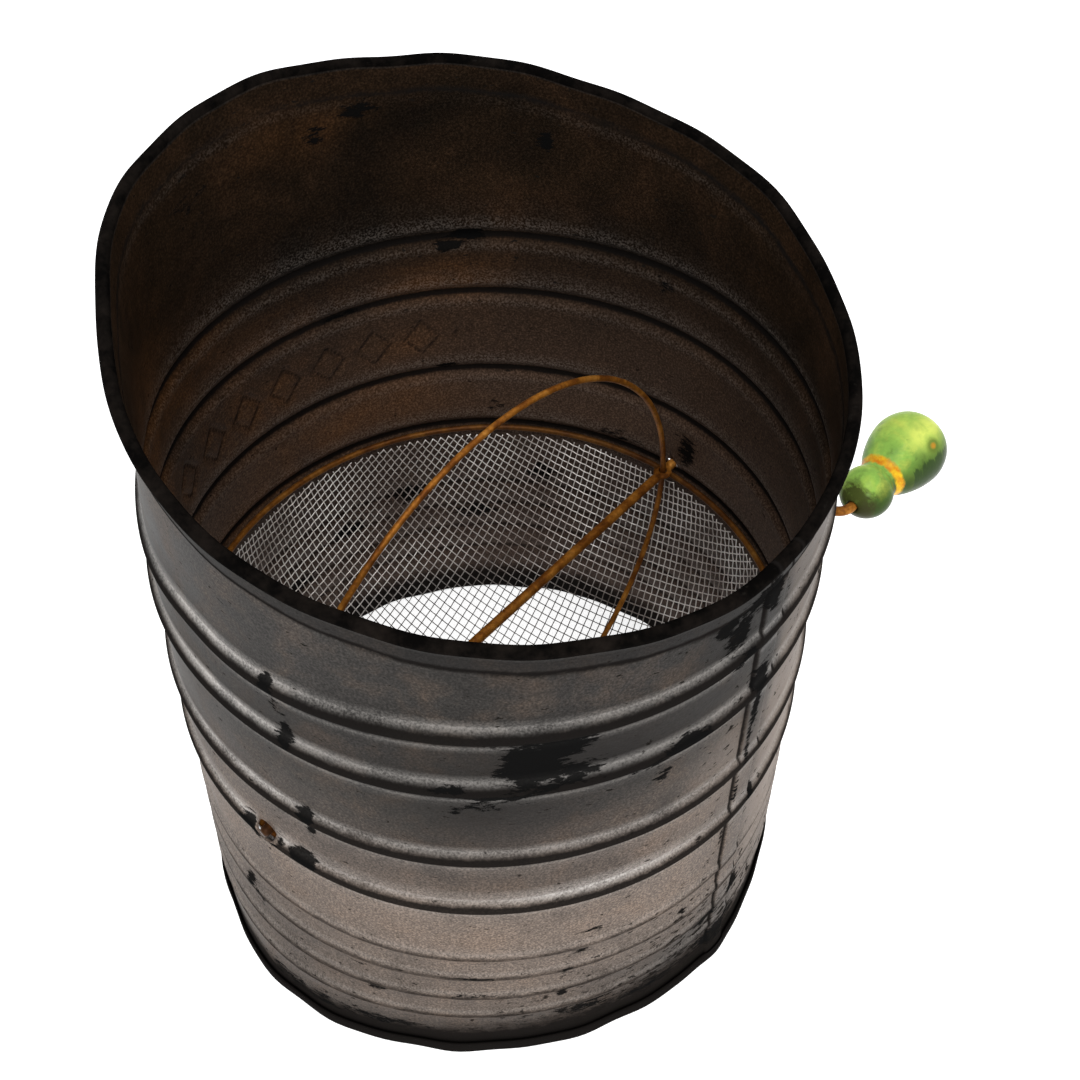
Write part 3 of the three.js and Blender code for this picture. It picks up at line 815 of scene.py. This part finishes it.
def ramp(tree, value, stops):
    """A colour or grey ramp of (place, colour) stops."""
    made = node(tree, "ShaderNodeValToRGB", {"Fac": value})
    elements = made.color_ramp.elements
    while len(elements) < len(stops):
        elements.new(0.5)
    for element, (place, colour) in zip(elements, stops):
        element.position = place
        element.color = (*colour, 1) if hasattr(colour, "__len__") else (colour, colour, colour, 1)
    return made.outputs["Color"]


def mix(tree, share, a, b, blend="MIX"):
    made = tree.nodes.new("ShaderNodeMix")
    made.data_type, made.blend_type = "RGBA", blend
    for index, value in ((0, share), (6, a), (7, b)):
        if isinstance(value, bpy.types.NodeSocket):
            tree.links.new(value, made.inputs[index])
        elif index == 0:
            made.inputs[0].default_value = value
        else:
            made.inputs[index].default_value = (*value, 1)
    return made.outputs[2]


def math_node(tree, operation, a, b, clamp=False):
    made = node(tree, "ShaderNodeMath", {0: a, 1: b}, operation=operation, use_clamp=clamp)
    return made.outputs[0]


def painted(tree, name):
    return node(tree, "ShaderNodeAttribute", attribute_name=name).outputs["Fac"]


def height_of(tree):
    coordinates = node(tree, "ShaderNodeTexCoord")
    return node(tree, "ShaderNodeSeparateXYZ", {"Vector": coordinates.outputs["Object"]}).outputs["Z"]


def rising(tree, value, low, high):
    """0 at low and 1 at high, straight between them. low may be the larger."""
    made = node(tree, "ShaderNodeMapRange", {"Value": value, "From Min": low, "From Max": high})
    return made.outputs[0]


def bumped(tree, shader, height, distance, strength):
    made = node(tree, "ShaderNodeBump", {"Height": height, "Distance": distance, "Strength": strength})
    tree.links.new(made.outputs["Normal"], shader.inputs["Normal"])


def times(tree, a, b):
    return math_node(tree, "MULTIPLY", a, b)


def plus(tree, a, b, clamp=False):
    return math_node(tree, "ADD", a, b, clamp=clamp)


def ragged_mask(tree, amount, rough_edge, weight, low, high):
    """A mask that follows amount, with its edge broken up by a noise."""
    return ramp(tree, plus(tree, amount, times(tree, math_node(tree, "SUBTRACT", rough_edge, 0.5), weight)),
                [(low, 0.0), (high, 1.0)])


def tin_outside(tree, grain, cloud, patch):
    """Dark warm grey at the mouth, lighter and pinker towards the foot, darkened in soft patches by soot and
    painted shade, with bare tin and painted highlights along the beads.
    """
    level = rising(tree, height_of(tree), 0.010, 0.140)
    level = plus(tree, level, times(tree, math_node(tree, "SUBTRACT", cloud, 0.5), 0.40))
    tone = ramp(tree, level, [
        (0.0, (0.080, 0.061, 0.049)), (0.34, (0.150, 0.117, 0.096)), (0.50, (0.086, 0.068, 0.057)),
        (0.66, (0.036, 0.031, 0.027)), (0.82, (0.026, 0.0235, 0.0215)), (1.0, (0.036, 0.0325, 0.030))])
    tone = mix(tree, ramp(tree, patch, [(0.46, 0.0), (0.72, 0.40)]), tone, (0.088, 0.056, 0.036))
    tone = mix(tree, 0.9, tone, ramp(tree, patch, [(0.30, 0.66), (0.5, 0.98), (0.70, 1.28)]), "MULTIPLY")
    tone = mix(tree, 0.9, tone, ramp(tree, grain, [(0.28, 0.40), (0.5, 0.94), (0.72, 1.85)]), "MULTIPLY")
    tone = mix(tree, times(tree, painted(tree, "pale"), 0.75), tone, (0.225, 0.180, 0.150))
    # Soot, and painted shade over the side that faces the camera.
    soot_and_shade = times(tree, painted(tree, "soot_and_shade"), plus(tree, times(tree, patch, 0.9), 0.55))
    tone = mix(tree, soot_and_shade, tone, (0.012, 0.0105, 0.0095))
    skirt = mix(tree, 0.72, tone, (0.008, 0.0072, 0.0068))
    tone = mix(tree, painted(tree, "skirt"), tone, skirt)
    uneven = plus(tree, times(tree, patch, 0.5), times(tree, grain, 0.5))
    # Bare tin and painted highlights along the shoulders of the beads.
    shine_and_wear = times(tree, painted(tree, "highlight_and_wear"), ramp(tree, uneven, [(0.36, 0.15), (0.58, 1.0)]))
    return mix(tree, times(tree, shine_and_wear, 0.85), tone, (0.47, 0.445, 0.42))


def tin_inside(tree, here, grain):
    """Dark brown with rust in patches, and pale speckles of bare tin and painted highlight beside the beads
    and along the mouth's inner crease.
    """
    blotch = noise(tree, here, 38, 6, 0.62, 0.4)
    inner = ramp(tree, blotch, [(0.34, (0.0078, 0.0052, 0.0034)), (0.50, (0.0150, 0.0088, 0.0050)),
                                (0.62, (0.024, 0.0130, 0.0070)), (0.74, (0.036, 0.0175, 0.0080))])
    low = rising(tree, height_of(tree), 0.118, 0.070)
    inner = mix(tree, times(tree, low, 0.65), inner, (0.085, 0.051, 0.034))
    rust = times(tree, painted(tree, "rust"), ramp(tree, blotch, [(0.36, 0.15), (0.62, 1.0)]))
    inner = mix(tree, times(tree, rust, 0.8), inner, (0.125, 0.050, 0.014))
    under_ring = rising(tree, height_of(tree), 0.060, 0.056)
    inner = mix(tree, times(tree, under_ring, 0.75), inner, (0.056, 0.039, 0.032))
    inner = mix(tree, 0.9, inner, ramp(tree, grain, [(0.26, 0.35), (0.5, 0.90), (0.74, 2.2)]), "MULTIPLY")
    # Pale speckles of bare tin and painted highlight beside the beads.
    shine_and_wear = times(tree, painted(tree, "highlight_and_wear"), ramp(tree, grain, [(0.44, 0.0), (0.62, 1.0)]))
    return mix(tree, times(tree, shine_and_wear, 0.4), inner, (0.15, 0.13, 0.115))


def tin_material():
    made, tree, shader = material("aged_tinplate")
    here = place_of(tree)
    grain = noise(tree, here, 2300, 2, 0.6)
    cloud = noise(tree, here, 26, 4, 0.6)
    patch = noise(tree, here, 95, 5, 0.62, 0.3)
    ragged = noise(tree, place_of(tree, (1, 1, 2.2)), 260, 5, 0.72, 0.2)
    smear = noise(tree, place_of(tree, (1, 1, 3.2)), 300, 7, 0.75, 0.3)
    outside = tin_outside(tree, grain, cloud, patch)
    colour = mix(tree, painted(tree, "inside"), outside, tin_inside(tree, here, grain))

    # The rolled edge and the hem are almost black. Painted shade in the creases, crusts and flecks lie over
    # everything.
    edge_tone = ramp(tree, noise(tree, here, 190, 6, 0.7), [
        (0.42, (0.0018, 0.0016, 0.0015)), (0.78, (0.011, 0.0085, 0.007))])
    edge = math_node(tree, "MAXIMUM", painted(tree, "rolled"), times(tree, painted(tree, "hem"), 0.94))
    colour = mix(tree, edge, colour, edge_tone)
    # Painted shade: near-black lines in the creases of the beads, the seam, the hem and the skirt.
    crease_shade = ragged_mask(tree, painted(tree, "crease_shade"), ragged, 0.80, 0.34, 0.80)
    colour = mix(tree, times(tree, crease_shade, 0.94), colour, (0.0075, 0.0065, 0.006))
    crust = ragged_mask(tree, painted(tree, "stain"), smear, 3.0, 0.58, 0.74)
    colour = mix(tree, times(tree, crust, 0.96), colour, (0.004, 0.004, 0.004))
    dots = noise(tree, place_of(tree, (1, 1, 2.2)), 420, 4, 0.6)
    speck = ragged_mask(tree, times(tree, painted(tree, "fleck"), 0.30), dots, 2.0, 0.42, 0.50)
    colour = mix(tree, times(tree, speck, 0.9), colour, (0.008, 0.007, 0.006))
    tree.links.new(colour, shader.inputs["Base Color"])

    dull = math_node(tree, "MAXIMUM", crease_shade, crust)
    dull = math_node(tree, "MAXIMUM", dull, math_node(tree, "MAXIMUM", speck, edge))
    bare = math_node(tree, "SUBTRACT", 1.0, dull, clamp=True)
    outside_share = math_node(tree, "SUBTRACT", 1.0, painted(tree, "inside"))
    metal = times(tree, bare, plus(tree, times(tree, outside_share, 0.05), 0.10))
    tree.links.new(metal, shader.inputs["Metallic"])
    rough = plus(tree, times(tree, patch, 0.25), 0.36)
    tree.links.new(plus(tree, rough, times(tree, dull, 0.35), clamp=True), shader.inputs["Roughness"])
    # Where bare tin and painted highlight lie, the IOR is higher, so they reflect more.
    shine_and_wear = times(tree, times(tree, painted(tree, "highlight_and_wear"), outside_share), 0.22)
    tree.links.new(plus(tree, times(tree, bare, plus(tree, shine_and_wear, 0.06)), 1.04), shader.inputs["IOR"])
    relief = plus(tree, times(tree, grain, 0.30), times(tree, ragged, 0.5))
    relief = plus(tree, relief, times(tree, crust, 0.7))
    bumped(tree, shader, relief, 0.00014, 0.8)
    return made


def rust_material():
    made, tree, shader = material("rusty_wire")
    here = place_of(tree)
    blotch = noise(tree, here, 190, 6, 0.65)
    fine = noise(tree, here, 1500, 4, 0.6)
    tone = ramp(tree, blotch, [
        (0.30, (0.045, 0.014, 0.004)), (0.45, (0.16, 0.052, 0.008)),
        (0.58, (0.30, 0.115, 0.016)), (0.75, (0.46, 0.21, 0.045))])
    tone = mix(tree, 0.6, tone, ramp(tree, fine, [(0.3, 0.45), (0.7, 1.35)]), "MULTIPLY")
    # Grime, and painted shade on one side of the screen's ring.
    tone = mix(tree, painted(tree, "grime_and_shade"), tone, (0.022, 0.010, 0.005))
    tree.links.new(tone, shader.inputs["Base Color"])
    shader.inputs["Metallic"].default_value = 0.3
    shader.inputs["IOR"].default_value = 1.15
    tree.links.new(plus(tree, times(tree, blotch, 0.35), 0.25), shader.inputs["Roughness"])
    bumped(tree, shader, plus(tree, blotch, times(tree, fine, 0.5)), 0.00015, 0.8)
    return made


def mesh_material():
    made, tree, shader = material("bright_woven_wire")
    here = place_of(tree)
    tarnish = noise(tree, here, 55, 6, 0.7)
    fine = noise(tree, here, 900, 3, 0.6)
    tone = ramp(tree, tarnish, [
        (0.32, (0.22, 0.17, 0.14)), (0.46, (0.62, 0.56, 0.52)), (0.62, (0.92, 0.88, 0.84))])
    tone = mix(tree, 0.4, tone, ramp(tree, fine, [(0.3, 0.6), (0.7, 1.25)]), "MULTIPLY")
    # Painted shade: the wires darken towards the bottom of the bowl.
    bottom = rising(tree, height_of(tree), 0.029, 0.021)
    tone = mix(tree, times(tree, bottom, 0.9), tone, (0.035, 0.028, 0.024))
    tree.links.new(tone, shader.inputs["Base Color"])
    shader.inputs["Metallic"].default_value = 0.45
    tree.links.new(plus(tree, times(tree, tarnish, 0.3), 0.22), shader.inputs["Roughness"])
    bumped(tree, shader, fine, 0.00003, 0.5)
    return made


def knob_material():
    """Glossy green paint, yellowed in places, gone through to the wood at the neck, scuffed underneath and
    chipped; a painted highlight along the top, and painted shade on the lower side and beside the washer.
    """
    made, tree, shader = material("worn_green_paint")
    here = place_of(tree)
    cloud = noise(tree, here, 95, 3, 0.55, 0.4)
    blotch = noise(tree, here, 230, 4, 0.6, 0.3)
    fine = noise(tree, here, 900, 4, 0.6)
    tone = ramp(tree, cloud, [
        (0.36, (0.105, 0.200, 0.038)), (0.46, (0.160, 0.300, 0.055)),
        (0.56, (0.225, 0.400, 0.068)), (0.70, (0.360, 0.500, 0.080))])
    tone = mix(tree, ramp(tree, blotch, [(0.55, 0.0), (0.72, 0.6)]), tone, (0.48, 0.54, 0.09))
    tone = mix(tree, ramp(tree, blotch, [(0.30, 0.6), (0.42, 0.0)]), tone, (0.080, 0.120, 0.030))
    tone = mix(tree, 0.35, tone, ramp(tree, fine, [(0.3, 0.65), (0.7, 1.25)]), "MULTIPLY")
    # Painted highlight: pale yellow along the top of the grip.
    top_highlight = times(tree, painted(tree, "top_highlight"), ramp(tree, blotch, [(0.36, 0.5), (0.6, 1.0)]))
    tone = mix(tree, top_highlight, tone, (0.56, 0.64, 0.12))
    # Painted shade on the lower side.
    tone = mix(tree, times(tree, painted(tree, "under"), 0.90), tone, (0.016, 0.030, 0.005))
    bare = ramp(tree, noise(tree, here, 330, 4, 0.6), [
        (0.38, (0.50, 0.16, 0.010)), (0.60, (0.68, 0.44, 0.020))])
    wear_and_highlight = ragged_mask(tree, painted(tree, "neck"), fine, 0.8, 0.42, 0.80)
    colour = mix(tree, wear_and_highlight, tone, bare)
    chips = noise(tree, here, 260, 5, 0.7, 0.6)
    # Dark chips in the paint, thickest at the ends; by the washer they also stand in for painted shade.
    chip_and_shade = ramp(tree, plus(tree, chips, times(tree, painted(tree, "ends"), 0.45)), [(0.66, 0.0), (0.90, 0.9)])
    colour = mix(tree, chip_and_shade, colour, (0.035, 0.034, 0.010))
    lines = noise(tree, place_of(tree, (6, 1, 1)), 170, 3, 0.6)
    scuff = ragged_mask(tree, painted(tree, "scuffed"), lines, 2.4, 0.55, 0.85)
    colour = mix(tree, times(tree, scuff, 0.85), colour, (0.024, 0.045, 0.012))
    pit = painted(tree, "pit")
    colour = mix(tree, ramp(tree, pit, [(0.15, 0.0), (0.55, 0.75)]), colour, (0.09, 0.13, 0.02))
    colour = mix(tree, ramp(tree, pit, [(0.72, 0.0), (0.92, 0.9)]), colour, (0.42, 0.20, 0.02))
    tree.links.new(colour, shader.inputs["Base Color"])
    tree.links.new(plus(tree, times(tree, cloud, 0.25), 0.20), shader.inputs["Roughness"])
    shader.inputs["IOR"].default_value = 1.10
    shader.inputs["Coat Weight"].default_value = 0.25
    shader.inputs["Coat IOR"].default_value = 1.20
    shader.inputs["Coat Roughness"].default_value = 0.12
    relief = plus(tree, times(tree, cloud, 0.9), times(tree, fine, 0.10))
    bumped(tree, shader, relief, 0.0007, 0.6)
    return made


def washer_material():
    made, tree, shader = material("dull_washer")
    here = place_of(tree)
    blotch = noise(tree, here, 500, 5, 0.65)
    tone = ramp(tree, blotch, [
        (0.3, (0.05, 0.03, 0.02)), (0.55, (0.16, 0.11, 0.08)), (0.75, (0.30, 0.24, 0.19))])
    tree.links.new(tone, shader.inputs["Base Color"])
    shader.inputs["Metallic"].default_value = 0.7
    tree.links.new(plus(tree, times(tree, blotch, 0.4), 0.3), shader.inputs["Roughness"])
    bumped(tree, shader, blotch, 0.0001, 0.6)
    return made


def dress(piece, made):
    piece.data.materials.clear()
    piece.data.materials.append(made)


# ---------------------------------------- camera, light and floor

# The camera that was fitted to the photograph: degrees, and millimetres about the can's axis.
CAMERA_AZIMUTH = -47.26
CAMERA_ELEVATION = 53.97
CAMERA_DISTANCE = 349.25 * MM
CAMERA_PIVOT = 43.5 * MM
CAMERA_AIM_HEIGHT = 90.3 * MM
CAMERA_AIM_RIGHT = 10.4 * MM
CAMERA_ROLL = 0.62
LENS = 53.11
SENSOR = 36.0


def make_camera():
    azimuth, elevation = math.radians(CAMERA_AZIMUTH), math.radians(CAMERA_ELEVATION)
    right = Vector((math.cos(azimuth), math.sin(azimuth), 0))
    back = Vector((math.sin(azimuth), -math.cos(azimuth), 0))
    axis = Vector((AXIS_X, 0, 0))
    place = axis + back * (CAMERA_DISTANCE * math.cos(elevation))
    place.z = CAMERA_PIVOT + CAMERA_DISTANCE * math.sin(elevation)
    aim = axis + right * CAMERA_AIM_RIGHT + Vector((0, 0, CAMERA_AIM_HEIGHT))
    camera = bpy.data.objects.new("camera", bpy.data.cameras.new("camera"))
    bpy.context.scene.collection.objects.link(camera)
    turn = (aim - place).to_track_quat("-Z", "Y").to_matrix().to_4x4()
    roll = Matrix.Rotation(math.radians(CAMERA_ROLL), 4, "Z")
    camera.matrix_world = Matrix.Translation(place) @ turn @ roll
    camera.data.lens, camera.data.sensor_width = LENS, SENSOR
    camera.data.clip_start, camera.data.clip_end = 0.01, 20
    bpy.context.scene.camera = camera


def area_light(name, place, aim, size, power):
    light = bpy.data.objects.new(name, bpy.data.lights.new(name, "AREA"))
    light.data.size, light.data.energy = size, power
    light.location = place
    light.rotation_euler = (Vector(aim) - Vector(place)).to_track_quat("-Z", "Y").to_euler()
    bpy.context.scene.collection.objects.link(light)


def make_stage():
    bpy.ops.mesh.primitive_plane_add(size=24, location=(0, 0, -0.0002))
    floor = bpy.context.object
    floor.name = "floor"
    made, tree, shader = material("pale_floor")
    faint = noise(tree, place_of(tree), 3, 2, 0.5)
    tone = ramp(tree, faint, [(0.2, 0.78), (0.8, 0.82)])
    tree.links.new(tone, shader.inputs["Base Color"])
    shader.inputs["Roughness"].default_value = 1.0
    shader.inputs["Specular IOR Level"].default_value = 0.0
    shader.inputs["Emission Color"].default_value = (1, 1, 1, 1)
    shader.inputs["Emission Strength"].default_value = 0.68
    dress(floor, made)
    world = bpy.data.worlds.new("studio")
    bpy.context.scene.world = world
    world.use_nodes = True
    background = world.node_tree.nodes["Background"]
    background.inputs["Color"].default_value = (1, 1, 1, 1)
    background.inputs["Strength"].default_value = 0.75
    bpy.context.scene.view_settings.view_transform = "Standard"
    aim = (AXIS_X, 0, 0.08)
    area_light("overhead", (-0.25, -0.25, 1.3), aim, 0.7, 9)
    area_light("front", (-0.75, -0.65, 0.75), aim, 0.35, 5)


# ---------------------------------------- assembly

tin, rust = tin_material(), rust_material()
dress(make_can(), tin)
warp = make_mesh_wires("screen_warp", True)
weft = make_mesh_wires("screen_weft", False)
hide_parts("screen_bowl")
woven = mesh_material()
dress(warp, woven)
dress(weft, woven)
dress(make_screen_ring(), rust)
dress(make_rim_wire(), rust)
for part in make_crank():
    dress(part, rust)
dress(make_hoop(), rust)
dress(make_knob(), knob_material())
dress(make_washer(), washer_material())
make_stage()
make_camera()
